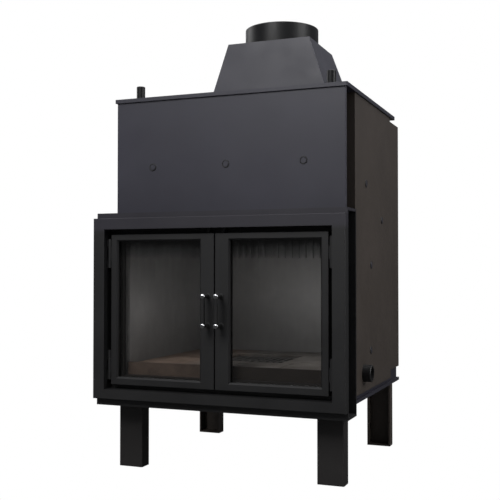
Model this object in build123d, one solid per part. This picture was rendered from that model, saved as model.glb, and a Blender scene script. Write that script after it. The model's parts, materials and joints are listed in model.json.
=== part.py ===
from build123d import *
import os

os.makedirs("parts", exist_ok=True)

# Water-heating fireplace insert with two glazed doors, on four legs.
# All sizes are in millimetres. X runs across the front, Z up from the floor.
# Y is 0 on the upper front plate while modelling and grows towards the back.
# Every piece is moved at export, so that the origin is under the middle of the whole.
# Widths follow from the body width, heights from the base and body tops, and the rear
# pieces from the back. Each one keeps a named inset, border or rise of its own.

# Sizes of the water-jacketed body
BODY_WIDTH = 576.0
BACK_Y = 548.0
BODY_TOP = 889.0
TOP_PLATE = 9.0
TOP_OVERHANG = 4.0
WATER_WALL = 31.0
FRONT_WALL_BACK_Y = 56.0
SIDE_FRONT_Y = 76.0
BASE_TOP = 177.0
PLINTH_HEIGHT = 10.0
SIDE_BOTTOM = BASE_TOP + PLINTH_HEIGHT
REAR_BOX_DEPTH = 107.0
REAR_BOX_Y = BACK_Y - REAR_BOX_DEPTH
REAR_BOX_DROP = 19.0
REAR_BOX_TOP = BODY_TOP - REAR_BOX_DROP
REAR_BOX_RISE = 21.0
REAR_BOX_BOTTOM = SIDE_BOTTOM + REAR_BOX_RISE
REAR_WALL_INSIDE = 20.0
REAR_WALL_Y = REAR_BOX_Y - REAR_WALL_INSIDE
BASE_PLATE = 8.0
SHEET = 6.0

# Sizes of the front frame
NICHE_INSET = 10.5
NICHE_WIDTH = BODY_WIDTH - 2 * NICHE_INSET
FRAME_BORDER = 29.5
FRAME_WIDTH = NICHE_WIDTH + 2 * FRAME_BORDER
FRAME_FRONT_Y = -77.0
FRAME_THICK = 18.0
LEDGE_DROP = 22.0
LEDGE_BOTTOM = BASE_TOP - LEDGE_DROP
LOWER_STEP = 17.0
FRAME_BOTTOM = LEDGE_BOTTOM + LOWER_STEP
LOWER_BORDER = 22.5
NICHE_BOTTOM = FRAME_BOTTOM + LOWER_BORDER
NICHE_HEIGHT = 374.5
NICHE_TOP = NICHE_BOTTOM + NICHE_HEIGHT
UPPER_BORDER = 26.0
FRAME_TOP = NICHE_TOP + UPPER_BORDER
UPPER_STEP = 13.0
LEDGE_TOP = FRAME_TOP + UPPER_STEP
FLANGE_Y = 7.0

# Sizes of the doors
DOOR_SETBACK = 13.5
DOOR_FRONT_Y = FRAME_FRONT_Y + DOOR_SETBACK
DOOR_THICK = 18.0
SEAL_SPACE = 3.5
SEAT_Y = DOOR_FRONT_Y + DOOR_THICK + SEAL_SPACE
BARREL_RADIUS = 5.0
BARREL_CLEARANCE = 1.2
DOOR_SIDE_GAP = 2 * BARREL_RADIUS + BARREL_CLEARANCE
DOOR_BOTTOM_GAP = 10.5
DOOR_TOP_GAP = 12.0
MEETING_GAP = 2.4
OUTER_STILE = 18.0
MEETING_STILE = 36.0
TOP_RAIL = 16.0
BOTTOM_RAIL = 18.0
LIP = 8.5
REBATE = 7.0
GLASS = 4.0
SEAL_TAPE = 1.0
RETAINER = 4.0
SEAL_GAP = 0.3

# Sizes of the hinges
HINGE_PIN_RADIUS = 2.5
HINGE_FIT = 0.05
LEAF_KNUCKLE = 30.0
FRAME_KNUCKLE = 18.0
KNUCKLE_GAP = 0.3
HINGE_INSET = 45.0

# Sizes of the handles
HANDLE_X = 16.0
HANDLE_RISE = 177.5
HANDLE_Z = NICHE_BOTTOM + DOOR_BOTTOM_GAP + HANDLE_RISE
HANDLE_SPACING = 65.5
HANDLE_STANDOFF = 33.5
POST_RADIUS = 4.5
POST_HEAD_RADIUS = 6.2
POST_HEAD_LENGTH = 11.0
GRIP_RADIUS = 5.0

# Sizes of the firebox
LINER = 12.0
FLOOR_PLATE_RISE = 48.0
FLOOR_PLATE_TOP = BASE_TOP + FLOOR_PLATE_RISE
BRICK = 25.0
BRICK_JOINT = 2.0
LINER_CLEARANCE = 2.0
FIRE_TOP = LEDGE_TOP - SHEET - LINER_CLEARANCE
RIB_DEPTH = 9.0
RIB_WIDTH = 9.0
RIB_PITCH = 20.0
RIB_LENGTH = 95.0
RIB_BOTTOM = FIRE_TOP - RIB_LENGTH
GUARD_Y = -20.0
LINER_FRONT_Y = -10.0
SHELF_FRONT_Y = 150.0
SHELF_THICK = 40.0
BAFFLE_BACK_Y = 300.0
BAFFLE_THICK = 32.0
BAFFLE_DROP = 4.0
BAFFLE_MIDDLE = (FIRE_TOP + SHELF_THICK + BODY_TOP - TOP_PLATE) / 2 - BAFFLE_DROP
BAFFLE_BOTTOM = BAFFLE_MIDDLE - BAFFLE_THICK / 2
GRATE_WIDTH = 178.0
GRATE_DEPTH = 178.0
GRATE_THICK = 18.0
GRATE_Y = 220.0
GRATE_SLOT = 8.0
GRATE_BARS = 8
ASH_PAN_HEIGHT = 34.0
ASH_PAN_SHEET = 1.5

# Sizes of the smoke hood and the flue collar
HOOD_HEIGHT = 188.0
HOOD_TOP = BODY_TOP + HOOD_HEIGHT
HOOD_BASE_WIDTH = 350.0
HOOD_BACK_INSET = 8.0
HOOD_BASE_DEPTH = 266.0
HOOD_BASE_BACK_Y = BACK_Y - HOOD_BACK_INSET
HOOD_BASE_FRONT_Y = HOOD_BASE_BACK_Y - HOOD_BASE_DEPTH
HOOD_SHEET = 4.0
COLLAR_RADIUS = 100.0
COLLAR_WALL = 4.0
COLLAR_HEIGHT = 52.0
COLLAR_SIDE_MARGIN = 13.5
COLLAR_FRONT_MARGIN = 9.0
HOOD_TOP_SETBACK = 49.0
HOOD_TOP_WIDTH = 2 * (COLLAR_RADIUS + COLLAR_SIDE_MARGIN)
HOOD_TOP_BACK_Y = HOOD_BASE_BACK_Y - HOOD_TOP_SETBACK
COLLAR_Y = HOOD_TOP_BACK_Y - COLLAR_RADIUS
HOOD_TOP_FRONT_Y = COLLAR_Y - COLLAR_RADIUS - COLLAR_FRONT_MARGIN

# Sizes of the water connections
RETURN_Y = 155.0
RETURN_RISE = 54.0
RETURN_Z = BASE_TOP + RETURN_RISE
RETURN_RADIUS = 20.0
RETURN_BORE = 15.15
RETURN_LENGTH = 20.0
TOP_SOCKET_INSET = 44.0
TOP_SOCKET_X = BODY_WIDTH / 2 - TOP_SOCKET_INSET
TOP_SOCKET_Y = 38.0
TOP_SOCKET_RADIUS = 10.5
TOP_SOCKET_BORE = 8.0
TOP_SOCKET_HEIGHT = 36.0
POCKET_DROP = 184.0
POCKET_Z = BODY_TOP - POCKET_DROP
POCKET_RADIUS = 3.0
POCKET_LENGTH = 11.0

# Sizes of the combustion air inlet
SPIGOT_INSET = 108.0
SPIGOT_Y = BACK_Y - SPIGOT_INSET
SPIGOT_RADIUS = 50.0
SPIGOT_WALL = 2.0
SPIGOT_LENGTH = 64.0
SPIGOT_FLANGE = 12.0
SPIGOT_SHOULDER_DROP = 2.0
SHAFT_DROP = 40.0
SHAFT_Z = BASE_TOP - SHAFT_DROP
SHAFT_RADIUS = 4.0
SHAFT_FIT = 0.05
FLAP_THICK = 2.0
FLAP_GAP = 0.6
LEVER_LENGTH = 60.0
LEVER_WIDTH = 12.0
LEVER_THICK = 4.0

# Sizes of the legs
LEG_WIDTH = 62.0
LEG_INSET = 7.0
LEG_OUTER_X = BODY_WIDTH / 2 - LEG_INSET
LEG_DEPTH = 34.0
LEG_SHEET = 4.0
FRONT_LEG_Y = 3.0
REAR_LEG_INSET = 86.0
REAR_LEG_Y = BACK_Y - REAR_LEG_INSET
BOLT_RADIUS = 4.0
BOLT_CLEARANCE = 0.2
BOLT_HEAD_RADIUS = 7.5
BOLT_HEAD = 5.3
LEG_BOLT_INSET = 41.0
LEG_BOLT_X = LEG_OUTER_X - LEG_BOLT_INSET
LEG_BOLT_SPACING = 18.0

# Positions of the stay-bolt ends that show on the plates
FRONT_STAY_SPACING = 190.0
FRONT_STAY_DROP = 169.0
FRONT_STAY_Z = BODY_TOP - FRONT_STAY_DROP
SIDE_STAYS = [(180.0, 680.0), (344.0, 600.0), (228.0, 486.0), (224.0, 279.0)]
STAY_RADIUS = 7.0
STAY_PROUD = 1.5

# Sizes that follow from the driving ones
BODY_HALF = BODY_WIDTH / 2
FRAME_HALF = FRAME_WIDTH / 2
NICHE_HALF = NICHE_WIDTH / 2
INNER_HALF = BODY_HALF - WATER_WALL
FIRE_HALF = INNER_HALF - LINER
NECK_HALF = INNER_HALF + SHEET
TOP_UNDER = BODY_TOP - TOP_PLATE
BASE_UNDER = BASE_TOP - BASE_PLATE
FRAME_BACK_Y = FRAME_FRONT_Y + FRAME_THICK
PLATE_BACK_Y = FRAME_BACK_Y + SHEET
SEAT_BACK_Y = SEAT_Y + SHEET
FLANGE_BACK_Y = FLANGE_Y + SHEET
LEDGE_UNDER = LEDGE_TOP - SHEET
LEDGE_LOW_TOP = LEDGE_BOTTOM + SHEET
FLOOR_TOP = FLOOR_PLATE_TOP + BRICK
DOOR_OUTER = NICHE_HALF - DOOR_SIDE_GAP
DOOR_INNER = MEETING_GAP / 2
DOOR_BOTTOM = NICHE_BOTTOM + DOOR_BOTTOM_GAP
DOOR_TOP = NICHE_TOP - DOOR_TOP_GAP
DOOR_BACK_Y = DOOR_FRONT_Y + DOOR_THICK
WINDOW_OUTER = DOOR_OUTER - OUTER_STILE
WINDOW_INNER = DOOR_INNER + MEETING_STILE
WINDOW_TOP = DOOR_TOP - TOP_RAIL
WINDOW_BOTTOM = DOOR_BOTTOM + BOTTOM_RAIL
GLASS_FRONT_Y = DOOR_FRONT_Y + LIP + SEAL_TAPE
GLASS_BACK_Y = GLASS_FRONT_Y + GLASS
HINGE_X = (DOOR_OUTER + NICHE_HALF) / 2
HINGE_Y = DOOR_FRONT_Y + BARREL_RADIUS
HINGE_HEIGHTS = [DOOR_BOTTOM + HINGE_INSET, DOOR_TOP - HINGE_INSET]
FRONT_Y = DOOR_FRONT_Y - HANDLE_STANDOFF
SHIFT_Y = -(FRONT_Y + BACK_Y) / 2


def block(x0, x1, y0, y1, z0, z1):
    """A box between two corners."""
    return Pos((x0 + x1) / 2, (y0 + y1) / 2, (z0 + z1) / 2) * Box(x1 - x0, y1 - y0, z1 - z0)


def wide(half, y0, y1, z0, z1):
    """A box as wide to the left as to the right."""
    return block(-half, half, y0, y1, z0, z1)


def rod_x(radius, x0, x1, y, z):
    """A round bar along X."""
    return Pos((x0 + x1) / 2, y, z) * Rot(0, 90, 0) * Cylinder(radius, x1 - x0)


def rod_y(radius, y0, y1, x, z):
    """A round bar along Y."""
    return Pos(x, (y0 + y1) / 2, z) * Rot(90, 0, 0) * Cylinder(radius, y1 - y0)


def rod_z(radius, z0, z1, x, y):
    """A round bar along Z."""
    return Pos(x, y, (z0 + z1) / 2) * Cylinder(radius, z1 - z0)


def hexagon_z(radius, z0, z1, x, y):
    """A hexagonal bar along Z."""
    return Pos(x, y, z0) * extrude(RegularPolygon(radius, 6), z1 - z0)


def mirrored(shape):
    """The same shape on the other side of the middle."""
    return mirror(shape, about=Plane.YZ)


def save(name, *shapes):
    """Writes one node, with its solids side by side."""
    solids = []
    for shape in shapes:
        solids.extend(solid.moved(Location((0, SHIFT_Y, 0))) for solid in shape.solids())
    node = Compound(children=solids) if len(solids) > 1 else solids[0]
    export_step(node, f"parts/{name}.step")


def save_pair(name, shape):
    """Writes a piece and its mirror image as one node."""
    save(name, shape, mirrored(shape))


# Water walls, each a closed welded slab with a rounded outer edge
side_wall = block(INNER_HALF, BODY_HALF, SIDE_FRONT_Y, REAR_BOX_Y, SIDE_BOTTOM, TOP_UNDER)
side_wall = fillet(side_wall.edges().filter_by(Axis.Z).sort_by(Axis.Y)[:1], 2)
side_wall -= rod_x(RETURN_BORE, BODY_HALF - 25, BODY_HALF + 1, RETURN_Y, RETURN_Z)
save("right_water_wall", side_wall)
save("left_water_wall", mirrored(side_wall))

front_plate = wide(BODY_HALF, 0, SHEET, LEDGE_TOP, TOP_UNDER)
save("front_plate", fillet(front_plate.edges().filter_by(Axis.Z).sort_by(Axis.Y)[:2], 2))

front_wall = wide(NECK_HALF, SHEET, FRONT_WALL_BACK_Y, LEDGE_TOP, TOP_UNDER)
for side in (-1, 1):
    front_wall -= rod_z(TOP_SOCKET_BORE, TOP_UNDER - 30, TOP_UNDER + 1, side * TOP_SOCKET_X, TOP_SOCKET_Y)
save("front_water_wall", front_wall)

HOOD_HALF = HOOD_BASE_WIDTH / 2
rear_wall = wide(BODY_HALF, REAR_BOX_Y, BACK_Y, REAR_BOX_BOTTOM, REAR_BOX_TOP)
rear_wall = fillet(rear_wall.edges().filter_by(Axis.Z).sort_by(Axis.Y)[2:], 4)
rear_wall += wide(INNER_HALF, REAR_WALL_Y, REAR_BOX_Y, REAR_BOX_BOTTOM, TOP_UNDER)
rear_wall += wide(HOOD_HALF + 20, REAR_BOX_Y, BACK_Y - 4, REAR_BOX_TOP, TOP_UNDER)
save("rear_water_wall", rear_wall)

# Neck between the front frame and the side walls
neck = block(INNER_HALF, NECK_HALF, SEAT_BACK_Y, FRONT_WALL_BACK_Y, BASE_TOP, LEDGE_UNDER)
neck += block(INNER_HALF, NECK_HALF, FRONT_WALL_BACK_Y, SIDE_FRONT_Y, BASE_TOP, TOP_UNDER)
save_pair("neck_plates", neck)

# Top plate with the smoke opening, and the base plate with the air opening
top_plate = wide(BODY_HALF + TOP_OVERHANG, -TOP_OVERHANG, REAR_BOX_Y + 44, TOP_UNDER, BODY_TOP)
top_plate += wide(HOOD_HALF + 20, REAR_BOX_Y + 44, BACK_Y - 2, TOP_UNDER, BODY_TOP)
top_plate = fillet(top_plate.edges().filter_by(Axis.Z), 2)
top_plate -= wide(HOOD_HALF - 30, HOOD_BASE_FRONT_Y + 16, REAR_WALL_Y - 4, TOP_UNDER - 1, BODY_TOP + 1)
for side in (-1, 1):
    top_plate -= rod_z(TOP_SOCKET_BORE, TOP_UNDER - 1, BODY_TOP + 1, side * TOP_SOCKET_X, TOP_SOCKET_Y)
save("top_plate", top_plate)

base = wide(NICHE_HALF, SEAT_BACK_Y, FLANGE_BACK_Y, BASE_UNDER, BASE_TOP)
base += wide(BODY_HALF, FLANGE_BACK_Y, BACK_Y, BASE_UNDER, BASE_TOP)
base -= rod_z(SPIGOT_RADIUS - SPIGOT_WALL, BASE_UNDER - 1, BASE_TOP + 1, 0, SPIGOT_Y)
LEG_BOLTS = []
for side in (-1, 1):
    for leg_y in (FRONT_LEG_Y, REAR_LEG_Y):
        for step in (-0.5, 0.5):
            bolt_x = side * (LEG_BOLT_X + step * LEG_BOLT_SPACING)
            LEG_BOLTS.append((bolt_x, leg_y + LEG_DEPTH / 2 + LEG_SHEET / 2))
for bolt_x, bolt_y in LEG_BOLTS:
    base -= rod_z(BOLT_RADIUS + BOLT_CLEARANCE, BASE_UNDER - 1, BASE_TOP + 1, bolt_x, bolt_y)
save("base_plate", base)

# Plinth between the base plate and the walls, set in from the sides
PLINTH_HALF = BODY_HALF - SHEET
plinth_side = block(PLINTH_HALF - SHEET, PLINTH_HALF, SIDE_FRONT_Y + 6, BACK_Y - 8, BASE_TOP, SIDE_BOTTOM)
plinth_side += block(PLINTH_HALF - SHEET, PLINTH_HALF, REAR_BOX_Y, BACK_Y - 8, SIDE_BOTTOM, REAR_BOX_BOTTOM)
plinth_back = wide(PLINTH_HALF - SHEET, BACK_Y - 14, BACK_Y - 8, BASE_TOP, REAR_BOX_BOTTOM)
save("plinth", plinth_side, mirrored(plinth_side), plinth_back)

# Front frame: face flange, wider plate behind it, ledges, side webs and rear flanges
face = wide(FRAME_HALF, FRAME_FRONT_Y, FRAME_BACK_Y, FRAME_BOTTOM, FRAME_TOP)
face = chamfer(face.faces().sort_by(Axis.Y)[0].edges(), 1.2)
niche_cut = wide(NICHE_HALF, FRAME_FRONT_Y - 1, FRAME_BACK_Y + 1, NICHE_BOTTOM, NICHE_TOP)
face -= niche_cut
save("front_frame", face)

plate = wide(FRAME_HALF, FRAME_BACK_Y, PLATE_BACK_Y, LEDGE_BOTTOM, LEDGE_TOP)
plate -= wide(NICHE_HALF, FRAME_BACK_Y - 1, PLATE_BACK_Y + 1, NICHE_BOTTOM, NICHE_TOP)
plate += wide(NICHE_HALF, PLATE_BACK_Y, SEAT_Y, NICHE_TOP, NICHE_TOP + SHEET)
plate += wide(NICHE_HALF, PLATE_BACK_Y, SEAT_Y, NICHE_BOTTOM - SHEET, NICHE_BOTTOM)
save("frame_plate", plate)

ledge_top = wide(FRAME_HALF, PLATE_BACK_Y, FLANGE_Y, LEDGE_UNDER, LEDGE_TOP)
ledge_top += wide(NECK_HALF, FLANGE_Y, FRONT_WALL_BACK_Y, LEDGE_UNDER, LEDGE_TOP)
ledge_low = wide(FRAME_HALF, PLATE_BACK_Y, FRONT_LEG_Y, LEDGE_BOTTOM, LEDGE_LOW_TOP)
ledge_low_end = block(LEG_OUTER_X + 4, FRAME_HALF, FRONT_LEG_Y, FLANGE_Y, LEDGE_BOTTOM, LEDGE_LOW_TOP)
save("frame_ledges", ledge_top, ledge_low + ledge_low_end + mirrored(ledge_low_end))

web_outer = NICHE_HALF + SHEET
web = block(NICHE_HALF, web_outer, PLATE_BACK_Y, FRONT_LEG_Y, LEDGE_LOW_TOP, LEDGE_UNDER)
web += block(NICHE_HALF, web_outer, FRONT_LEG_Y, FLANGE_BACK_Y, BASE_UNDER, LEDGE_UNDER)
web += block(web_outer, FRAME_HALF, FLANGE_Y, FLANGE_BACK_Y, LEDGE_BOTTOM, LEDGE_TOP)
save_pair("frame_jambs", web)

# Seat ring that the door seals press on, closing the niche behind the doors
seat = wide(NICHE_HALF, SEAT_Y, SEAT_BACK_Y, LEDGE_LOW_TOP, LEDGE_UNDER)
seat -= wide(FIRE_HALF, SEAT_Y - 1, SEAT_BACK_Y + 1, FLOOR_PLATE_TOP, WINDOW_TOP)
save("door_seat", seat)

# Floor plate, log guard and brick floor around the grate
floor_plate = wide(INNER_HALF, SEAT_BACK_Y, REAR_WALL_Y, FLOOR_PLATE_TOP - SHEET, FLOOR_PLATE_TOP)
ash_x = GRATE_WIDTH / 2 - 7
ash_y = GRATE_DEPTH / 2 - 7
floor_plate -= wide(ash_x, GRATE_Y - ash_y, GRATE_Y + ash_y, FLOOR_PLATE_TOP - SHEET - 1, FLOOR_PLATE_TOP + 1)
save("floor_plate", floor_plate)

save("log_guard", wide(FIRE_HALF, GUARD_Y, LINER_FRONT_Y, FLOOR_PLATE_TOP, FLOOR_TOP + 4))

grate_half_x = GRATE_WIDTH / 2 + 1
grate_front = GRATE_Y - GRATE_DEPTH / 2 - 1
grate_back = GRATE_Y + GRATE_DEPTH / 2 + 1
bricks = []
BACK_LINER_Y = REAR_WALL_Y - LINER
for low, high, count in ((LINER_FRONT_Y, grate_front, 4), (grate_back, BACK_LINER_Y, 4)):
    width = (2 * FIRE_HALF - (count - 1) * BRICK_JOINT) / count
    for index in range(count):
        left = -FIRE_HALF + index * (width + BRICK_JOINT)
        bricks.append(block(left, left + width, low, high - BRICK_JOINT, FLOOR_PLATE_TOP, FLOOR_TOP))
for side in (-1, 1):
    inner, outer = sorted((side * grate_half_x, side * FIRE_HALF))
    bricks.append(block(inner, outer, grate_front, grate_back - BRICK_JOINT, FLOOR_PLATE_TOP, FLOOR_TOP))
bricks = [chamfer(brick.faces().sort_by(Axis.Z)[-1].edges(), 1.5) for brick in bricks]
save("brick_floor", *bricks)

# Cast grate with slots and the ash pan below it, both of which lift out
grate = wide(GRATE_WIDTH / 2, grate_front + 1, grate_back - 1, FLOOR_PLATE_TOP, FLOOR_PLATE_TOP + GRATE_THICK)
grate = fillet(grate.edges().filter_by(Axis.Z), 6)
slot_pitch = (GRATE_WIDTH - 30) / GRATE_BARS
for index in range(GRATE_BARS):
    slot_x = (index - (GRATE_BARS - 1) / 2) * slot_pitch
    for slot_y in (GRATE_Y - GRATE_DEPTH / 4 + 4, GRATE_Y + GRATE_DEPTH / 4 - 4):
        slot_half = GRATE_DEPTH / 4 - 12
        grate -= block(
            slot_x - GRATE_SLOT / 2,
            slot_x + GRATE_SLOT / 2,
            slot_y - slot_half,
            slot_y + slot_half,
            FLOOR_PLATE_TOP - 1,
            FLOOR_PLATE_TOP + GRATE_THICK + 1,
        )
save("grate", grate)

pan_x = ash_x - 3
pan_y = ash_y - 3
pan = wide(pan_x, GRATE_Y - pan_y, GRATE_Y + pan_y, BASE_TOP, BASE_TOP + ASH_PAN_HEIGHT)
pan = fillet(pan.edges().filter_by(Axis.Z), 5)
pan_inside = wide(
    pan_x - ASH_PAN_SHEET,
    GRATE_Y - pan_y + ASH_PAN_SHEET,
    GRATE_Y + pan_y - ASH_PAN_SHEET,
    BASE_TOP + ASH_PAN_SHEET,
    BASE_TOP + ASH_PAN_HEIGHT + 1,
)
pan -= fillet(pan_inside.edges().filter_by(Axis.Z), 5 - ASH_PAN_SHEET)
save("ash_pan", pan)

# Fire side liners, the ribbed back liner, the water shelf and the upper baffle
side_liner = block(FIRE_HALF, INNER_HALF, LINER_FRONT_Y, REAR_WALL_Y, FLOOR_PLATE_TOP, FIRE_TOP)
save("right_liner", side_liner)
save("left_liner", mirrored(side_liner))

back_liner = wide(FIRE_HALF, BACK_LINER_Y, REAR_WALL_Y, FLOOR_PLATE_TOP, FIRE_TOP)
rib_count = int((2 * FIRE_HALF - RIB_PITCH) / RIB_PITCH) // 2 * 2 + 1
for index in range(rib_count):
    rib_x = (index - (rib_count - 1) / 2) * RIB_PITCH
    rib_left = rib_x - RIB_WIDTH / 2
    back_liner += block(rib_left, rib_left + RIB_WIDTH, BACK_LINER_Y - RIB_DEPTH, BACK_LINER_Y, RIB_BOTTOM, FIRE_TOP)
save("back_liner", back_liner)

shelf = wide(INNER_HALF, SHELF_FRONT_Y, REAR_WALL_Y, FIRE_TOP, FIRE_TOP + SHELF_THICK)
save("water_shelf", fillet(shelf.edges().filter_by(Axis.X).sort_by(Axis.Y)[:2], 8))
baffle = wide(INNER_HALF, FRONT_WALL_BACK_Y, BAFFLE_BACK_Y, BAFFLE_BOTTOM, BAFFLE_BOTTOM + BAFFLE_THICK)
save("upper_baffle", fillet(baffle.edges().filter_by(Axis.X).sort_by(Axis.Y)[2:], 8))


def tapered(inset, bottom, top):
    """The hood's tapered block, smaller all round by the inset."""
    depth_low = HOOD_BASE_BACK_Y - HOOD_BASE_FRONT_Y - 2 * inset
    depth_high = HOOD_TOP_BACK_Y - HOOD_TOP_FRONT_Y - 2 * inset
    middle_low = (HOOD_BASE_FRONT_Y + HOOD_BASE_BACK_Y) / 2
    middle_high = (HOOD_TOP_FRONT_Y + HOOD_TOP_BACK_Y) / 2
    low = Plane.XY.offset(bottom) * Pos(0, middle_low) * Rectangle(HOOD_BASE_WIDTH - 2 * inset, depth_low)
    high = Plane.XY.offset(top) * Pos(0, middle_high) * Rectangle(HOOD_TOP_WIDTH - 2 * inset, depth_high)
    return loft([low, high], ruled=True)


# Smoke hood, tapered on both sides and at the back, with the flue collar on top
hood = tapered(0, BODY_TOP, HOOD_TOP)
hood -= tapered(HOOD_SHEET, BODY_TOP, HOOD_TOP - HOOD_SHEET)
hood -= rod_z(COLLAR_RADIUS - COLLAR_WALL, HOOD_TOP - 10, HOOD_TOP + 10, 0, COLLAR_Y)
save("smoke_hood", hood)

COLLAR_TOP = HOOD_TOP + COLLAR_HEIGHT
collar = rod_z(COLLAR_RADIUS, HOOD_TOP, COLLAR_TOP, 0, COLLAR_Y)
collar = fillet(collar.edges().sort_by(Axis.Z)[-1:], 1.5)
collar -= rod_z(COLLAR_RADIUS - COLLAR_WALL, HOOD_TOP - 1, COLLAR_TOP + 1, 0, COLLAR_Y)
save("flue_collar", collar)

# Water connections and the sensor pocket
sockets = []
nipples = []
for side in (-1, 1):
    near, far = sorted((side * BODY_HALF, side * (BODY_HALF + RETURN_LENGTH)))
    socket = rod_x(RETURN_RADIUS, near, far, RETURN_Y, RETURN_Z)
    socket = chamfer(socket.edges().sort_by(Axis.X)[-1:] if side > 0 else socket.edges().sort_by(Axis.X)[:1], 1.5)
    socket -= rod_x(RETURN_BORE, near - 1, far + 1, RETURN_Y, RETURN_Z)
    sockets.append(socket)
    stub_top = BODY_TOP + TOP_SOCKET_HEIGHT
    stub = rod_z(TOP_SOCKET_RADIUS, BODY_TOP, stub_top, side * TOP_SOCKET_X, TOP_SOCKET_Y)
    stub = chamfer(stub.edges().sort_by(Axis.Z)[-1:], 1)
    stub -= rod_z(TOP_SOCKET_BORE, BODY_TOP - 1, stub_top + 1, side * TOP_SOCKET_X, TOP_SOCKET_Y)
    nipples.append(stub)
save("return_sockets", *sockets)
save("top_nipples", *nipples)

pocket_y = (SHEET + FRONT_WALL_BACK_Y) / 2 - 8
pocket = rod_x(POCKET_RADIUS, -BODY_HALF - POCKET_LENGTH, -NECK_HALF - 4, pocket_y, POCKET_Z)
pocket += rod_x(2 * POCKET_RADIUS, -NECK_HALF - 6, -NECK_HALF, pocket_y, POCKET_Z)
save("sensor_pocket", pocket)

# Welded ends of the stay bolts
stays = []
for step in (-1, 0, 1):
    stay = rod_y(STAY_RADIUS, -STAY_PROUD, 0, step * FRONT_STAY_SPACING, FRONT_STAY_Z)
    stays.append(chamfer(stay.edges().sort_by(Axis.Y)[:1], 1))
for stay_y, stay_z in SIDE_STAYS:
    stay = rod_x(STAY_RADIUS, BODY_HALF, BODY_HALF + STAY_PROUD, stay_y, stay_z)
    stay = chamfer(stay.edges().sort_by(Axis.X)[-1:], 1)
    stays.append(stay)
    stays.append(mirrored(stay))
save("stay_ends", *stays)

# Combustion air inlet under the base, with a flap on a shaft and a lever outside
spigot = rod_z(SPIGOT_RADIUS, BASE_UNDER - SPIGOT_LENGTH, BASE_UNDER, 0, SPIGOT_Y)
spigot += rod_z(SPIGOT_RADIUS + SPIGOT_FLANGE, BASE_UNDER - 4, BASE_UNDER, 0, SPIGOT_Y)
boss_outer = SPIGOT_RADIUS + 4
shoulder_z = SHAFT_Z - 2 * SHAFT_RADIUS - SPIGOT_SHOULDER_DROP
spigot += rod_z(SPIGOT_RADIUS + 1, shoulder_z, BASE_UNDER, 0, SPIGOT_Y)
spigot += rod_x(2 * SHAFT_RADIUS, -boss_outer, boss_outer, SPIGOT_Y, SHAFT_Z)
spigot -= rod_z(SPIGOT_RADIUS - SPIGOT_WALL, 0, BASE_TOP, 0, SPIGOT_Y)
spigot -= rod_x(SHAFT_RADIUS + SHAFT_FIT, -boss_outer - 1, boss_outer + 1, SPIGOT_Y, SHAFT_Z)
save("air_spigot", spigot)

flap_radius = SPIGOT_RADIUS - SPIGOT_WALL - FLAP_GAP
FLAP_SEAT_Z = SHAFT_Z + SHAFT_RADIUS / 2
hub_near = boss_outer + 0.5
shaft = rod_x(SHAFT_RADIUS, -hub_near, hub_near + LEVER_THICK + 4, SPIGOT_Y, SHAFT_Z)
shaft += rod_x(1.5 * SHAFT_RADIUS, -hub_near - 2.5, -hub_near, SPIGOT_Y, SHAFT_Z)
shaft -= block(-flap_radius, flap_radius, SPIGOT_Y - 10, SPIGOT_Y + 10, FLAP_SEAT_Z, SHAFT_Z + 10)
save("flap_shaft", shaft)
save("air_flap", rod_z(flap_radius - 0.4, FLAP_SEAT_Z, FLAP_SEAT_Z + FLAP_THICK, 0, SPIGOT_Y))
flap_top = FLAP_SEAT_Z + FLAP_THICK
save("flap_screws", *[rod_z(3.5, flap_top, flap_top + 2.2, screw_x, SPIGOT_Y) for screw_x in (-24, 24)])
lever = rod_x(2 * SHAFT_RADIUS, hub_near, hub_near + LEVER_THICK + 4, SPIGOT_Y, SHAFT_Z)
lever_end = SPIGOT_Y + LEVER_LENGTH
lever += block(
    hub_near,
    hub_near + LEVER_THICK,
    SPIGOT_Y,
    lever_end,
    SHAFT_Z - LEVER_WIDTH / 2,
    SHAFT_Z + LEVER_WIDTH / 2,
)
lever += rod_x(LEVER_WIDTH / 2, hub_near, hub_near + LEVER_THICK, lever_end, SHAFT_Z)
lever -= rod_x(2.5, hub_near - 1, hub_near + LEVER_THICK + 1, lever_end, SHAFT_Z)
lever -= rod_x(SHAFT_RADIUS, hub_near - 1, hub_near + LEVER_THICK + 5, SPIGOT_Y, SHAFT_Z)
save("flap_lever", lever)

# Door parts are modelled for the right leaf and mirrored for the left one
leaf = block(DOOR_INNER, DOOR_OUTER, DOOR_FRONT_Y, DOOR_BACK_Y, DOOR_BOTTOM, DOOR_TOP)
leaf = chamfer(leaf.faces().sort_by(Axis.Y)[0].edges(), 1)
window = block(WINDOW_INNER, WINDOW_OUTER, DOOR_FRONT_Y, DOOR_BACK_Y, WINDOW_BOTTOM, WINDOW_TOP)
rebate = block(
    WINDOW_INNER - REBATE,
    WINDOW_OUTER + REBATE,
    DOOR_FRONT_Y + LIP,
    DOOR_BACK_Y + 1,
    WINDOW_BOTTOM - REBATE,
    WINDOW_TOP + REBATE,
)
leaf -= rebate
leaf -= window
leaf = chamfer(leaf.faces().sort_by(Axis.Y)[0].inner_wires()[0].edges(), 3.5)
for height in HINGE_HEIGHTS:
    low = height - LEAF_KNUCKLE / 2
    high = height + LEAF_KNUCKLE / 2
    leaf += block(DOOR_OUTER - 1, HINGE_X, HINGE_Y - 3, HINGE_Y + 3, low, high)
    leaf += rod_z(BARREL_RADIUS, low, high, HINGE_X, HINGE_Y)
    leaf -= rod_z(HINGE_PIN_RADIUS + HINGE_FIT, low - 1, high + 1, HINGE_X, HINGE_Y)


def ring(front, back, outer, inner):
    """A frame around the window, with margins beyond the window's edges."""
    body = block(WINDOW_INNER - outer, WINDOW_OUTER + outer, front, back, WINDOW_BOTTOM - outer, WINDOW_TOP + outer)
    body -= block(
        WINDOW_INNER - inner,
        WINDOW_OUTER + inner,
        front - 1,
        back + 1,
        WINDOW_BOTTOM - inner,
        WINDOW_TOP + inner,
    )
    return body


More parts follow.
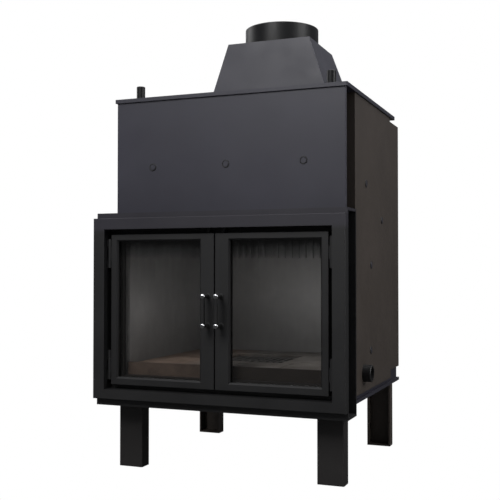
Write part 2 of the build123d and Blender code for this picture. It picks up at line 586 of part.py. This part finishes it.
tape = ring(DOOR_FRONT_Y + LIP, GLASS_FRONT_Y, REBATE, 0.5)
pane = block(
    WINDOW_INNER - REBATE + 1,
    WINDOW_OUTER + REBATE - 1,
    GLASS_FRONT_Y,
    GLASS_BACK_Y,
    WINDOW_BOTTOM - REBATE + 1,
    WINDOW_TOP + REBATE - 1,
)
retainer = ring(GLASS_BACK_Y, GLASS_BACK_Y + RETAINER, REBATE, 0)
window_height = WINDOW_TOP - WINDOW_BOTTOM
window_width = WINDOW_OUTER - WINDOW_INNER
screws = []
for screw_z in (WINDOW_BOTTOM + window_height / 6, WINDOW_TOP - window_height / 6):
    for screw_x in (WINDOW_INNER - REBATE / 2, WINDOW_OUTER + REBATE / 2):
        screws.append(rod_y(3, GLASS_BACK_Y + RETAINER, GLASS_BACK_Y + RETAINER + 1.5, screw_x, screw_z))

# Rope seal on the outer stile and both rails, squeezed to just short of the seat
rope_front = DOOR_BACK_Y
rope_back = SEAT_Y - SEAL_GAP
rope = block(DOOR_INNER + 4, DOOR_OUTER - 3, rope_front, rope_back, DOOR_BOTTOM + 3, DOOR_TOP - 3)
rope_width = 8.0
rope -= block(
    DOOR_INNER,
    DOOR_OUTER - 3 - rope_width,
    rope_front - 1,
    rope_back + 1,
    DOOR_BOTTOM + 3 + rope_width,
    DOOR_TOP - 3 - rope_width,
)

# Pull handle: two round posts with domed heads and a grip between the heads
posts = []
head_back_y = FRONT_Y + POST_HEAD_LENGTH
post_heights = (HANDLE_Z - HANDLE_SPACING / 2, HANDLE_Z + HANDLE_SPACING / 2)
for post_z in post_heights:
    post = rod_y(POST_RADIUS, head_back_y, DOOR_FRONT_Y, HANDLE_X, post_z)
    head = rod_y(POST_HEAD_RADIUS, FRONT_Y, head_back_y, HANDLE_X, post_z)
    head = fillet(head.edges().sort_by(Axis.Y)[:1], 4)
    post += chamfer(head.edges().sort_by(Axis.Y)[-1:], 1)
    foot = rod_y(POST_HEAD_RADIUS, DOOR_FRONT_Y - 2.5, DOOR_FRONT_Y, HANDLE_X, post_z)
    post += chamfer(foot.edges().sort_by(Axis.Y)[:1], 1)
    posts.append(post)
grip_y = (FRONT_Y + head_back_y) / 2
grip = rod_z(GRIP_RADIUS, post_heights[0], post_heights[1], HANDLE_X, grip_y)
for post in posts:
    grip -= post
grip = grip.solids().sort_by(SortBy.VOLUME)[-1]

DOOR_PIECES = {
    "door_frame": [leaf],
    "glass_tape": [tape],
    "glass": [pane],
    "glass_retainer": [retainer],
    "retainer_screws": screws,
    "rope_seal": [rope],
    "handle_posts": posts,
    "handle_grip": [grip],
}
for name, shapes in DOOR_PIECES.items():
    save(f"right_{name}", *shapes)
    save(f"left_{name}", *[mirrored(shape) for shape in shapes])

# Fixed halves of the hinges with their pins, on the jambs of the niche
knuckles = []
pins = []
for height in HINGE_HEIGHTS:
    reach = LEAF_KNUCKLE / 2 + KNUCKLE_GAP
    for low in (height - reach - FRAME_KNUCKLE, height + reach):
        knuckle = rod_z(BARREL_RADIUS, low, low + FRAME_KNUCKLE, HINGE_X, HINGE_Y)
        knuckle += block(HINGE_X, NICHE_HALF, HINGE_Y - 3, HINGE_Y + 3, low, low + FRAME_KNUCKLE)
        knuckle -= rod_z(HINGE_PIN_RADIUS, low - 1, low + FRAME_KNUCKLE + 1, HINGE_X, HINGE_Y)
        knuckles.append(knuckle)
    end = height + reach + FRAME_KNUCKLE
    pin = rod_z(HINGE_PIN_RADIUS, height - reach - FRAME_KNUCKLE, end, HINGE_X, HINGE_Y)
    pin += rod_z(HINGE_PIN_RADIUS + 1.5, end, end + 2, HINGE_X, HINGE_Y)
    pins.append(pin)
save("right_hinge_knuckles", *knuckles)
save("left_hinge_knuckles", *[mirrored(knuckle) for knuckle in knuckles])
save("hinge_pins", *pins, *[mirrored(pin) for pin in pins])

# Ball catches in the head of the niche, just clear of the door tops
catches = []
catch_y = PLATE_BACK_Y + 1
for side in (-1, 1):
    catch = rod_z(5, DOOR_TOP + 3, NICHE_TOP, side * (DOOR_INNER + MEETING_STILE / 2), catch_y)
    ball_radius = 3.5
    catch += Pos(side * (DOOR_INNER + MEETING_STILE / 2), catch_y, DOOR_TOP + 0.3 + ball_radius) * Sphere(ball_radius)
    catches.append(catch)
save("ball_catches", *catches)

# Legs folded from sheet, open towards the middle of the body
LEG_POSITIONS = {
    "front_right_leg": (1, FRONT_LEG_Y, 1),
    "front_left_leg": (-1, FRONT_LEG_Y, 1),
    "rear_right_leg": (1, REAR_LEG_Y, -1),
    "rear_left_leg": (-1, REAR_LEG_Y, -1),
}
for name, (side, leg_y, opens) in LEG_POSITIONS.items():
    left = LEG_OUTER_X - LEG_WIDTH
    leg = block(left, LEG_OUTER_X, leg_y, leg_y + LEG_DEPTH, 0, BASE_UNDER)
    upright = leg.edges().filter_by(Axis.Z).sort_by(Axis.Y)
    leg = fillet(upright[:2] if opens > 0 else upright[2:], 3)
    hollow_front = leg_y + LEG_SHEET if opens > 0 else leg_y - 1
    hollow_back = leg_y + LEG_DEPTH + 1 if opens > 0 else leg_y + LEG_DEPTH - LEG_SHEET
    leg -= block(left + LEG_SHEET, LEG_OUTER_X - LEG_SHEET, hollow_front, hollow_back, LEG_SHEET, BASE_UNDER - LEG_SHEET)
    if side < 0:
        leg = mirrored(leg)
    for bolt_x, bolt_y in LEG_BOLTS:
        leg -= rod_z(BOLT_RADIUS + BOLT_CLEARANCE, BASE_UNDER - 3 * LEG_SHEET, BASE_UNDER + 1, bolt_x, bolt_y)
    save(name, leg)

leg_bolts = []
for bolt_x, bolt_y in LEG_BOLTS:
    head_top = BASE_UNDER - LEG_SHEET
    bolt = hexagon_z(BOLT_HEAD_RADIUS, head_top - BOLT_HEAD, head_top, bolt_x, bolt_y)
    bolt += rod_z(BOLT_RADIUS, head_top, BASE_TOP + 8, bolt_x, bolt_y)
    bolt += hexagon_z(BOLT_HEAD_RADIUS, BASE_TOP, BASE_TOP + 6.5, bolt_x, bolt_y)
    leg_bolts.append(bolt)
save("leg_bolts", *leg_bolts)
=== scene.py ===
import json
import math

import bpy
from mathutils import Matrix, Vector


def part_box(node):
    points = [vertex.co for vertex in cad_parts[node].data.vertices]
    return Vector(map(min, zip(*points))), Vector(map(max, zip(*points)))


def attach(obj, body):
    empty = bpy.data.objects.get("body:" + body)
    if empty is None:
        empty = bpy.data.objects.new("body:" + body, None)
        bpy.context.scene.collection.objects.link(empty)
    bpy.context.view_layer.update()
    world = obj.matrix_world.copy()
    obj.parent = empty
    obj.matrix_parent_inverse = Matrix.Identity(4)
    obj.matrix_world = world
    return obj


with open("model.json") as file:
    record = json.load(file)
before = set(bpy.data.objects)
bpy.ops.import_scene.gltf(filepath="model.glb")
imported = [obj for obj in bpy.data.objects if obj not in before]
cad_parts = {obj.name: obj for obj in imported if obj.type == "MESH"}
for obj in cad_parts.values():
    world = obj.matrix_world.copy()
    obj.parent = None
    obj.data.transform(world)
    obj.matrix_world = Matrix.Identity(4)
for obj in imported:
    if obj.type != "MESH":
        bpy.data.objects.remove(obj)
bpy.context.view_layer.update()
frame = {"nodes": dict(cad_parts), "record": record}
nodes = frame["nodes"]

# All lengths are in metres, in the part's own frame, where the front faces -Y.

# The camera fitted to the photograph: place, pitch and yaw in degrees, lens and sensor in millimetres
CAMERA_AT = (0.7882, -2.0551, 0.4791)
CAMERA_PITCH = 1.18
CAMERA_YAW = 21.68
CAMERA_LENS = 61.95
CAMERA_SENSOR = 36.0

# Frequencies of the upright streaks in the painted shade of the panes and the liner, along X, Y and Z
STREAK_SCALE = (70.0, 70.0, 3.0)
# How softly the chrome of the handle heads gives way to paint
CHROME_EDGE = 0.0005


def shader(name):
    """A new material, its node tree and its Principled shader."""
    material = bpy.data.materials.new(name)
    material.use_nodes = True
    tree = material.node_tree
    return material, tree, tree.nodes["Principled BSDF"]


def object_coordinates(tree, scale=(1, 1, 1)):
    """Texture coordinates fixed to the object, in metres times the scale."""
    coordinates = tree.nodes.new("ShaderNodeTexCoord")
    mapping = tree.nodes.new("ShaderNodeMapping")
    mapping.inputs["Scale"].default_value = scale
    tree.links.new(coordinates.outputs["Object"], mapping.inputs["Vector"])
    return mapping.outputs["Vector"]


def split_axes(tree, kind="Object"):
    """The X, Y and Z sockets of one kind of texture coordinates."""
    coordinates = tree.nodes.new("ShaderNodeTexCoord")
    axes = tree.nodes.new("ShaderNodeSeparateXYZ")
    tree.links.new(coordinates.outputs[kind], axes.inputs["Vector"])
    return axes.outputs


def noise(tree, vector, scale, detail=4.0, roughness=0.55):
    """Fractal noise on the given coordinates."""
    texture = tree.nodes.new("ShaderNodeTexNoise")
    texture.inputs["Scale"].default_value = scale
    texture.inputs["Detail"].default_value = detail
    texture.inputs["Roughness"].default_value = roughness
    tree.links.new(vector, texture.inputs["Vector"])
    return texture.outputs["Fac"]


def ramp(tree, value, stops):
    """A colour ramp over the value, with (position, colour) stops."""
    node = tree.nodes.new("ShaderNodeValToRGB")
    elements = node.color_ramp.elements
    while len(elements) < len(stops):
        elements.new(0.5)
    for element, (position, colour) in zip(elements, stops):
        element.position = position
        element.color = (*colour, 1.0)
    tree.links.new(value, node.inputs["Fac"])
    return node.outputs["Color"]


def add_bump(tree, principled, value, strength, distance):
    """Bumps the shader by the value."""
    bump = tree.nodes.new("ShaderNodeBump")
    bump.inputs["Strength"].default_value = strength
    bump.inputs["Distance"].default_value = distance
    tree.links.new(value, bump.inputs["Height"])
    tree.links.new(bump.outputs["Normal"], principled.inputs["Normal"])


def grey(level):
    """A grey of that linear level."""
    return (level, level, level)


WHITE = grey(1.0)


def scaled(colour, factor):
    """The colour made lighter or darker."""
    return tuple(min(1.0, channel * factor) for channel in colour)


def along_axis(tree, axis, offset, stops, streak=0.0):
    """Colour stops along one axis of the part, in metres plus the offset, with upright streaks."""
    streaks = tree.nodes.new("ShaderNodeMath")
    streaks.operation = "MULTIPLY_ADD"
    # Upright streaks that break up the edge of the painted shade on the panes and the liner
    painted_shade_streaks = noise(tree, object_coordinates(tree, STREAK_SCALE), scale=1.0)
    tree.links.new(painted_shade_streaks, streaks.inputs[0])
    streaks.inputs[1].default_value = streak
    streaks.inputs[2].default_value = offset - streak / 2
    moved = tree.nodes.new("ShaderNodeMath")
    moved.operation = "ADD"
    tree.links.new(split_axes(tree)[axis], moved.inputs[0])
    tree.links.new(streaks.outputs["Value"], moved.inputs[1])
    return ramp(tree, moved.outputs["Value"], stops)


def by_ray(tree, kind, otherwise, shown):
    """The shown shader for one kind of ray, and the other one for all other rays."""
    path = tree.nodes.new("ShaderNodeLightPath")
    mix = tree.nodes.new("ShaderNodeMixShader")
    tree.links.new(path.outputs[kind], mix.inputs["Fac"])
    tree.links.new(otherwise, mix.inputs[1])
    tree.links.new(shown, mix.inputs[2])
    return mix.outputs["Shader"]


def multiplied(tree, colour, shade):
    """The product of two colours."""
    product = tree.nodes.new("ShaderNodeVectorMath")
    product.operation = "MULTIPLY"
    tree.links.new(colour, product.inputs[0])
    tree.links.new(shade, product.inputs[1])
    return product.outputs["Vector"]


def paint(name, colour, rough, specular, coat=0.0, shade=None):
    """Sprayed heat-proof paint: fine grain, cloudy sheen and slight unevenness."""
    material, tree, principled = shader(name)
    vector = object_coordinates(tree)
    cloud = noise(tree, vector, scale=5.0)
    clouded = ramp(tree, cloud, [(0.3, scaled(colour, 0.86)), (0.7, scaled(colour, 1.14))])
    # A shade, where one is given, is painted light: the lighter, bluer band on the frame's lintel
    if shade:
        clouded = multiplied(tree, clouded, along_axis(tree, *shade))
    tree.links.new(clouded, principled.inputs["Base Color"])
    sheen = noise(tree, vector, scale=11.0, detail=6.0)
    levels = [(0.3, grey(rough - 0.05)), (0.7, grey(rough + 0.06))]
    tree.links.new(ramp(tree, sheen, levels), principled.inputs["Roughness"])
    principled.inputs["Specular IOR Level"].default_value = specular
    principled.inputs["Coat Weight"].default_value = coat
    principled.inputs["Coat Roughness"].default_value = 0.12
    grain = noise(tree, vector, scale=900.0, detail=2.0)
    add_bump(tree, principled, grain, strength=0.12, distance=0.0004)
    return material


def metal(name, colour, rough, scratches):
    """Plated or bare metal with faint scratches."""
    material, tree, principled = shader(name)
    principled.inputs["Metallic"].default_value = 1.0
    vector = object_coordinates(tree, scale=(1.0, 1.0, 6.0))
    cloud = noise(tree, vector, scale=60.0)
    stops = [(0.3, scaled(colour, 0.9)), (0.7, scaled(colour, 1.05))]
    tree.links.new(ramp(tree, cloud, stops), principled.inputs["Base Color"])
    scratching = noise(tree, vector, scale=300.0)
    levels = [(0.3, grey(rough)), (0.75, grey(rough + scratches))]
    tree.links.new(ramp(tree, scratching, levels), principled.inputs["Roughness"])
    return material


def chrome_heads(name, colour, split_y):
    """Chrome in front of a plane across Y, and dark paint on the stems behind it."""
    material, tree, principled = shader(name)
    step = tree.nodes.new("ShaderNodeMapRange")
    step.inputs["From Min"].default_value = split_y - CHROME_EDGE
    step.inputs["From Max"].default_value = split_y
    tree.links.new(split_axes(tree)["Y"], step.inputs["Value"])
    in_front_and_behind = {
        "Base Color": (colour, grey(0.01)),
        "Roughness": (grey(0.08), grey(0.45)),
        "Metallic": (grey(1.0), grey(0.0)),
    }
    for socket, (front, behind) in in_front_and_behind.items():
        blend = ramp(tree, step.outputs["Result"], [(0.0, front), (1.0, behind)])
        tree.links.new(blend, principled.inputs[socket])
    return material


def refractory(name, dark, light, grain, rough, bump, ash_and_painted_shade=None):
    """Fired clay or board: mottled and grainy, with a colour shift along one axis where it is given: ash
    on the floor brick, painted light and shade on the liner and the guard.
    """
    material, tree, principled = shader(name)
    vector = object_coordinates(tree)
    mottle = noise(tree, vector, grain, detail=8.0, roughness=0.65)
    colour = ramp(tree, mottle, [(0.32, dark), (0.68, light)])
    if ash_and_painted_shade:
        # Ash on the floor brick; painted light and shade on the liner and the guard
        colour = multiplied(tree, colour, along_axis(tree, *ash_and_painted_shade))
    tree.links.new(colour, principled.inputs["Base Color"])
    principled.inputs["Roughness"].default_value = rough
    grit = noise(tree, vector, scale=12 * grain, detail=6.0)
    add_bump(tree, principled, grit, strength=bump, distance=0.001)
    return material


def rope_yarn(name, colour):
    """Braided glass-fibre rope."""
    material, tree, principled = shader(name)
    wave = tree.nodes.new("ShaderNodeTexWave")
    wave.wave_type = "BANDS"
    wave.bands_direction = "DIAGONAL"
    wave.inputs["Scale"].default_value = 110.0
    wave.inputs["Distortion"].default_value = 1.5
    tree.links.new(object_coordinates(tree), wave.inputs["Vector"])
    stops = [(0.2, scaled(colour, 0.55)), (0.8, scaled(colour, 1.3))]
    tree.links.new(ramp(tree, wave.outputs["Fac"], stops), principled.inputs["Base Color"])
    principled.inputs["Roughness"].default_value = 0.95
    add_bump(tree, principled, wave.outputs["Fac"], strength=0.6, distance=0.001)
    return material


def pane_glass(name):
    """Clear ceramic glass: mostly see-through, with a soft reflection and painted shade along its top."""
    material, tree, principled = shader(name)
    tree.nodes.remove(principled)
    clear = tree.nodes.new("ShaderNodeBsdfTransparent")
    tree.links.new(along_axis(tree, *PANE_TINT_AND_PAINTED_SHADE), clear.inputs["Color"])
    gloss = tree.nodes.new("ShaderNodeBsdfGlossy")
    gloss.inputs["Color"].default_value = (0.95, 0.95, 0.95, 1.0)
    gloss.inputs["Roughness"].default_value = 0.03
    haze = noise(tree, object_coordinates(tree), scale=4.0, detail=3.0)
    share = ramp(tree, haze, [(0.3, grey(0.05)), (0.7, grey(0.075))])
    mix = tree.nodes.new("ShaderNodeMixShader")
    tree.links.new(share, mix.inputs["Fac"])
    tree.links.new(clear.outputs["BSDF"], mix.inputs[1])
    tree.links.new(gloss.outputs["BSDF"], mix.inputs[2])
    tree.links.new(mix.outputs["Shader"], tree.nodes["Material Output"].inputs["Surface"])
    return material


# The chrome heads of the handle posts end here
HEAD_LENGTH = 0.0105
HEAD_BACK_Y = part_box("left_handle_posts")[0].y + HEAD_LENGTH

# Painted shade on the panes and the guard, painted light and shade on the liner, ash on the floor brick
# and painted light on the frame's lintel,
# for along_axis: the axis, its offset, the colour stops along it and the reach of the streaks. The offset
# brings X above zero.
X_OFFSET = 0.5
PANE_STOPS = [(0.5, (0.88, 0.865, 0.85)), (0.524, grey(0.6)), (0.536, grey(0.22))]
LINER_STOPS = [(0.25, grey(0.75)), (0.38, grey(1.0)), (0.47, grey(0.85)), (0.58, grey(0.42))]
# The panes' own clear tint, and painted shade: they let less through towards their top edge, standing in
# for the shadow under the top rail
PANE_TINT_AND_PAINTED_SHADE = ("Z", 0.0, PANE_STOPS, 0.02)
# Painted light and shade: the liner is brightest a little above the floor and darker towards the top and
# the bottom, standing in for the glow on the firebox walls
LINER_PAINTED_LIGHT_AND_SHADE = ("Z", 0.0, LINER_STOPS, 0.07)
# Painted shade: the guard darkens across its right half
GUARD_PAINTED_SHADE = ("X", X_OFFSET, [(0.3, grey(1.0)), (0.46, grey(0.7)), (0.56, grey(0.14))])
FLOOR_ASH = ("X", X_OFFSET, [(0.36, grey(1.0)), (0.45, (0.62, 0.78, 0.92))])
# Painted light: from the lintel up the frame is lighter and bluer, where light and its reflection fall on
# it; below, the paint is darkened
LINTEL_PAINTED_LIGHT = ("Z", 0.0, [(0.562, (0.5, 0.53, 0.41)), (0.572, grey(1.0))])

FINISHES = {
    "black_paint": paint("black_paint", (0.0082, 0.008, 0.0083), rough=0.5, specular=0.36),
    "slate_paint": paint("slate_paint", (0.0178, 0.0172, 0.026), rough=0.48, specular=0.42),
    "side_paint": paint("side_paint", (0.0405, 0.0325, 0.027), rough=0.55, specular=0.28),
    "collar_paint": paint("collar_paint", (0.004, 0.004, 0.0045), rough=0.42, specular=0.2, coat=0.04),
    "bare_steel": paint("bare_steel", (0.02, 0.02, 0.022), rough=0.42, specular=0.5),
    "zinc_steel": metal("zinc_steel", (0.5, 0.5, 0.51), rough=0.3, scratches=0.1),
    "chrome": chrome_heads("chrome", (0.78, 0.78, 0.8), HEAD_BACK_Y),
    "glass": pane_glass("glass"),
    "rope": rope_yarn("rope", (0.09, 0.088, 0.085)),
    "firebrick": refractory(
        "firebrick",
        dark=(0.13, 0.095, 0.075),
        light=(0.26, 0.2, 0.165),
        grain=22.0,
        rough=0.9,
        bump=0.5,
        ash_and_painted_shade=FLOOR_ASH,
    ),
    "liner": refractory(
        "liner",
        dark=(0.26, 0.265, 0.27),
        light=(0.35, 0.355, 0.36),
        grain=7.0,
        rough=0.85,
        bump=0.2,
        ash_and_painted_shade=LINER_PAINTED_LIGHT_AND_SHADE,
    ),
    "cast_iron": refractory(
        "cast_iron",
        dark=(0.04, 0.04, 0.041),
        light=(0.085, 0.084, 0.083),
        grain=60.0,
        rough=0.7,
        bump=0.5,
    ),
}
SLOT_OF = {part["node"]: part["material_slot"] for part in frame["record"]["subparts"]}
for name, node in nodes.items():
    node.data.materials.clear()
    node.data.materials.append(FINISHES[SLOT_OF[name]])

# Pieces that look unlike the rest of their slot
# The guard: dark brown clay, with painted shade over its right half
GUARD = refractory(
    "guard_brick",
    dark=(0.05, 0.037, 0.03),
    light=(0.1, 0.074, 0.06),
    grain=22.0,
    rough=0.9,
    bump=0.4,
    ash_and_painted_shade=GUARD_PAINTED_SHADE,
)
LEG_PAINT = paint("leg_paint", (0.0125, 0.0112, 0.0108), rough=0.55, specular=0.32)
# Painted light: the lit, lighter and bluer colour of the frame paint on the lintel, darkened below the
# lintel
LINTEL_LIT_COLOUR = (0.0164, 0.0152, 0.0204)
LINTEL_LIT_PAINT = paint("lintel_painted_light", LINTEL_LIT_COLOUR, rough=0.5, specular=0.37, shade=LINTEL_PAINTED_LIGHT)
REPAINTED = {
    "front_frame": LINTEL_LIT_PAINT,
    "frame_plate": LINTEL_LIT_PAINT,
    "frame_ledges": LINTEL_LIT_PAINT,
    "log_guard": GUARD,
    "front_left_leg": LEG_PAINT,
    "front_right_leg": LEG_PAINT,
    "rear_left_leg": FINISHES["side_paint"],
    "rear_right_leg": FINISHES["side_paint"],
    "top_nipples": FINISHES["collar_paint"],
    "return_sockets": FINISHES["black_paint"],
    "sensor_pocket": FINISHES["black_paint"],
}
for name, material in REPAINTED.items():
    nodes[name].data.materials[0] = material

# Softened edges on the folded and welded sheet parts: pieces by the width of their bevel
BEVELS = {
    0.003: ("smoke_hood", "rear_water_wall"),
    0.002: ("left_water_wall", "right_water_wall"),
    0.0015: ("front_plate", "top_plate", "log_guard"),
    0.001: (
        "front_frame",
        "base_plate",
        "front_left_leg",
        "front_right_leg",
        "rear_left_leg",
        "rear_right_leg",
    ),
    0.0008: ("frame_plate", "frame_jambs", "frame_ledges", "left_door_frame", "right_door_frame"),
}
SHARP_ANGLE = math.radians(35)
for width, names in BEVELS.items():
    for name in names:
        bevel = nodes[name].modifiers.new("soft_edges", "BEVEL")
        bevel.width = width
        bevel.segments = 2
        bevel.limit_method = "ANGLE"
        bevel.angle_limit = SHARP_ANGLE
        bevel.use_clamp_overlap = True

# Radii of the weld beads, and the share of the radius and the turn per point of their unevenness
WELD = 0.0016
NIPPLE_WELD = 0.8 * WELD
STAY_WELD = 0.9 * WELD
WELD_WAVE = 0.16
WELD_WAVE_TURN = 2.4
X_AXIS, Y_AXIS, Z_AXIS = range(3)


def bead(name, points, radius, slot):
    """A closed weld bead laid through the points, slightly uneven."""
    curve = bpy.data.curves.new(name, "CURVE")
    curve.dimensions = "3D"
    curve.bevel_depth = radius
    curve.bevel_resolution = 3
    spline = curve.splines.new("POLY")
    spline.points.add(len(points) - 1)
    for index, place in enumerate(points):
        spline.points[index].co = (*place, 1.0)
        spline.points[index].radius = 1.0 + WELD_WAVE * math.sin(index * WELD_WAVE_TURN)
    spline.use_cyclic_u = True
    bead_object = bpy.data.objects.new(name, curve)
    bpy.context.scene.collection.objects.link(bead_object)
    curve.materials.append(FINISHES[slot])
    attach(bead_object, "insert")


def circle_points(centre, radius, normal, count):
    """Points round a circle that faces along the given axis."""
    first, second = [axis for axis in (X_AXIS, Y_AXIS, Z_AXIS) if axis != normal]
    points = []
    for index in range(count):
        turn = 2 * math.pi * index / count
        place = list(centre)
        place[first] += radius * math.cos(turn)
        place[second] += radius * math.sin(turn)
        points.append(place)
    return points


def rectangle_points(low, high, height, steps=24):
    """Points round a level rectangle, with so many steps on each side."""
    corners = [(low.x, low.y), (high.x, low.y), (high.x, high.y), (low.x, high.y)]
    points = []
    for index, start in enumerate(corners):
        end = corners[(index + 1) % len(corners)]
        for step in range(steps):
            share = step / steps
            points.append([a + (b - a) * share for a, b in zip(start, end)] + [height])
    return points


hood_low, hood_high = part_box("smoke_hood")
bead("hood_weld", rectangle_points(hood_low, hood_high, hood_low.z + WELD / 2), WELD, "slate_paint")

collar_low, collar_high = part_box("flue_collar")
collar_middle = (collar_low + collar_high) / 2
collar_foot = (collar_middle.x, collar_middle.y, collar_low.z + WELD / 2)
collar_radius = (collar_high.x - collar_low.x) / 2
collar_ring = circle_points(collar_foot, collar_radius, Z_AXIS, count=72)
bead("collar_weld", collar_ring, WELD, "slate_paint")

nipple_low, nipple_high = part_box("top_nipples")
nipple_radius = (nipple_high.y - nipple_low.y) / 2
nipple_y = (nipple_low.y + nipple_high.y) / 2
nipple_z = nipple_low.z + WELD / 2
for side, x in (("left", nipple_low.x + nipple_radius), ("right", nipple_high.x - nipple_radius)):
    ring = circle_points((x, nipple_y, nipple_z), nipple_radius, Z_AXIS, count=36)
    bead(f"{side}_nipple_weld", ring, NIPPLE_WELD, "slate_paint")

# Welds round the stay-bolt ends: (x, z) on the front plate and (y, z) on both sides
STAY_WELD_RADIUS = 0.0078
FRONT_STAYS = [(-0.19, 0.72), (0.0, 0.72), (0.19, 0.72)]
SIDE_STAYS = [(-0.0455, 0.68), (0.1185, 0.6), (0.0025, 0.486), (-0.0015, 0.279)]
front_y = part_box("front_plate")[0].y
body_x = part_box("right_water_wall")[1].x
for index, (x, z) in enumerate(FRONT_STAYS):
    ring = circle_points((x, front_y, z), STAY_WELD_RADIUS, Y_AXIS, count=24)
    bead(f"front_stay_weld_{index}", ring, STAY_WELD, "black_paint")
for index, (y, z) in enumerate(SIDE_STAYS):
    for side, x in (("left", -body_x), ("right", body_x)):
        ring = circle_points((x, y, z), STAY_WELD_RADIUS, X_AXIS, count=24)
        bead(f"{side}_stay_weld_{index}", ring, STAY_WELD, "black_paint")

# A pale floor that the camera sees as plain white and glossy reflections see as dark
FLOOR_GREY = 0.4
FLOOR_IN_GLOSS = 0.05
FLOOR_SIZE = 40.0
FLOOR_DROP = 0.0005
bpy.ops.mesh.primitive_plane_add(size=FLOOR_SIZE, location=(0, 0, -FLOOR_DROP))
floor = bpy.context.object
floor.name = "floor"
floor_material, floor_tree, floor_shader = shader("floor")
floor_shader.inputs["Base Color"].default_value = (*grey(FLOOR_GREY), 1.0)
floor_shader.inputs["Roughness"].default_value = 0.9
glow = floor_tree.nodes.new("ShaderNodeEmission")
glow.inputs["Color"].default_value = (*WHITE, 1.0)
dim = floor_tree.nodes.new("ShaderNodeEmission")
dim.inputs["Color"].default_value = (*grey(FLOOR_IN_GLOSS), 1.0)
floor_in_gloss = by_ray(floor_tree, "Is Glossy Ray", floor_shader.outputs["BSDF"], dim.outputs["Emission"])
floor_seen = by_ray(floor_tree, "Is Camera Ray", floor_in_gloss, glow.outputs["Emission"])
floor_tree.links.new(floor_seen, floor_tree.nodes["Material Output"].inputs["Surface"])
floor.data.materials.append(floor_material)

# White behind the object, a dim grey room for everything else
ROOM_LOW = (0.05, 0.05, 0.05)
ROOM_HIGH = (0.4, 0.41, 0.44)
ROOM_STOPS = [(0.0, ROOM_LOW), (0.06, ROOM_LOW), (0.5, ROOM_HIGH)]
world = bpy.data.worlds.new("studio")
bpy.context.scene.world = world
world.use_nodes = True
world_tree = world.node_tree
room = world_tree.nodes["Background"]
room_height = split_axes(world_tree, "Generated")["Z"]
world_tree.links.new(ramp(world_tree, room_height, ROOM_STOPS), room.inputs["Color"])
room.inputs["Strength"].default_value = 1.0
white = world_tree.nodes.new("ShaderNodeBackground")
white.inputs["Color"].default_value = (*WHITE, 1.0)
white.inputs["Strength"].default_value = 1.0
world_seen = by_ray(world_tree, "Is Camera Ray", room.outputs["Background"], white.outputs["Background"])
world_tree.links.new(world_seen, world_tree.nodes["World Output"].inputs["Surface"])


def placed_lamp(name, light, place):
    """An object that carries the light, at the place."""
    lamp = bpy.data.objects.new(name, light)
    bpy.context.scene.collection.objects.link(lamp)
    lamp.location = place
    return lamp


def area_light(name, place, target, width, height, power):
    """A soft rectangular light that looks at a point."""
    light = bpy.data.lights.new(name, "AREA")
    light.shape = "RECTANGLE"
    light.size = width
    light.size_y = height
    light.energy = power
    across, along, up = [t - p for t, p in zip(target, place)]
    lamp = placed_lamp(name, light, place)
    lamp.rotation_euler = (
        math.pi / 2 + math.atan2(up, math.hypot(across, along)),
        0.0,
        math.atan2(along, across) - math.pi / 2,
    )


GLIMMER_SIZE = 0.04


def glimmer(name, place, power):
    """A small soft lamp inside the firebox that is itself unseen."""
    light = bpy.data.lights.new(name, "POINT")
    light.energy = power
    light.shadow_soft_size = GLIMMER_SIZE
    lamp = placed_lamp(name, light, place)
    lamp.visible_camera = False
    lamp.visible_glossy = False


BODY_MIDDLE = (0.0, -0.1, 0.6)
area_light("key", (-0.5, -2.7, 2.7), BODY_MIDDLE, width=1.6, height=1.6, power=105.0)
area_light("side", (3.0, -0.2, 2.0), BODY_MIDDLE, width=1.5, height=2.0, power=62.0)
area_light("top", (0.3, 0.6, 3.2), BODY_MIDDLE, width=2.0, height=2.0, power=35.0)
area_light("left", (-3.0, 0.6, 1.9), BODY_MIDDLE, width=1.5, height=2.0, power=26.0)
area_light("rear", (-1.4, 3.0, 1.8), BODY_MIDDLE, width=1.5, height=2.0, power=40.0)
glimmer("firebox_left", (-0.16, -0.2, 0.39), power=0.045)
glimmer("firebox_back", (0.1, 0.0, 0.41), power=0.4)

camera_data = bpy.data.cameras.new("camera")
camera_data.lens = CAMERA_LENS
camera_data.sensor_width = CAMERA_SENSOR
camera = bpy.data.objects.new("camera", camera_data)
bpy.context.scene.collection.objects.link(camera)
camera.location = CAMERA_AT
camera.rotation_euler = (math.radians(90 + CAMERA_PITCH), 0.0, math.radians(CAMERA_YAW))
bpy.context.scene.camera = camera
bpy.context.scene.view_settings.view_transform = "Standard"
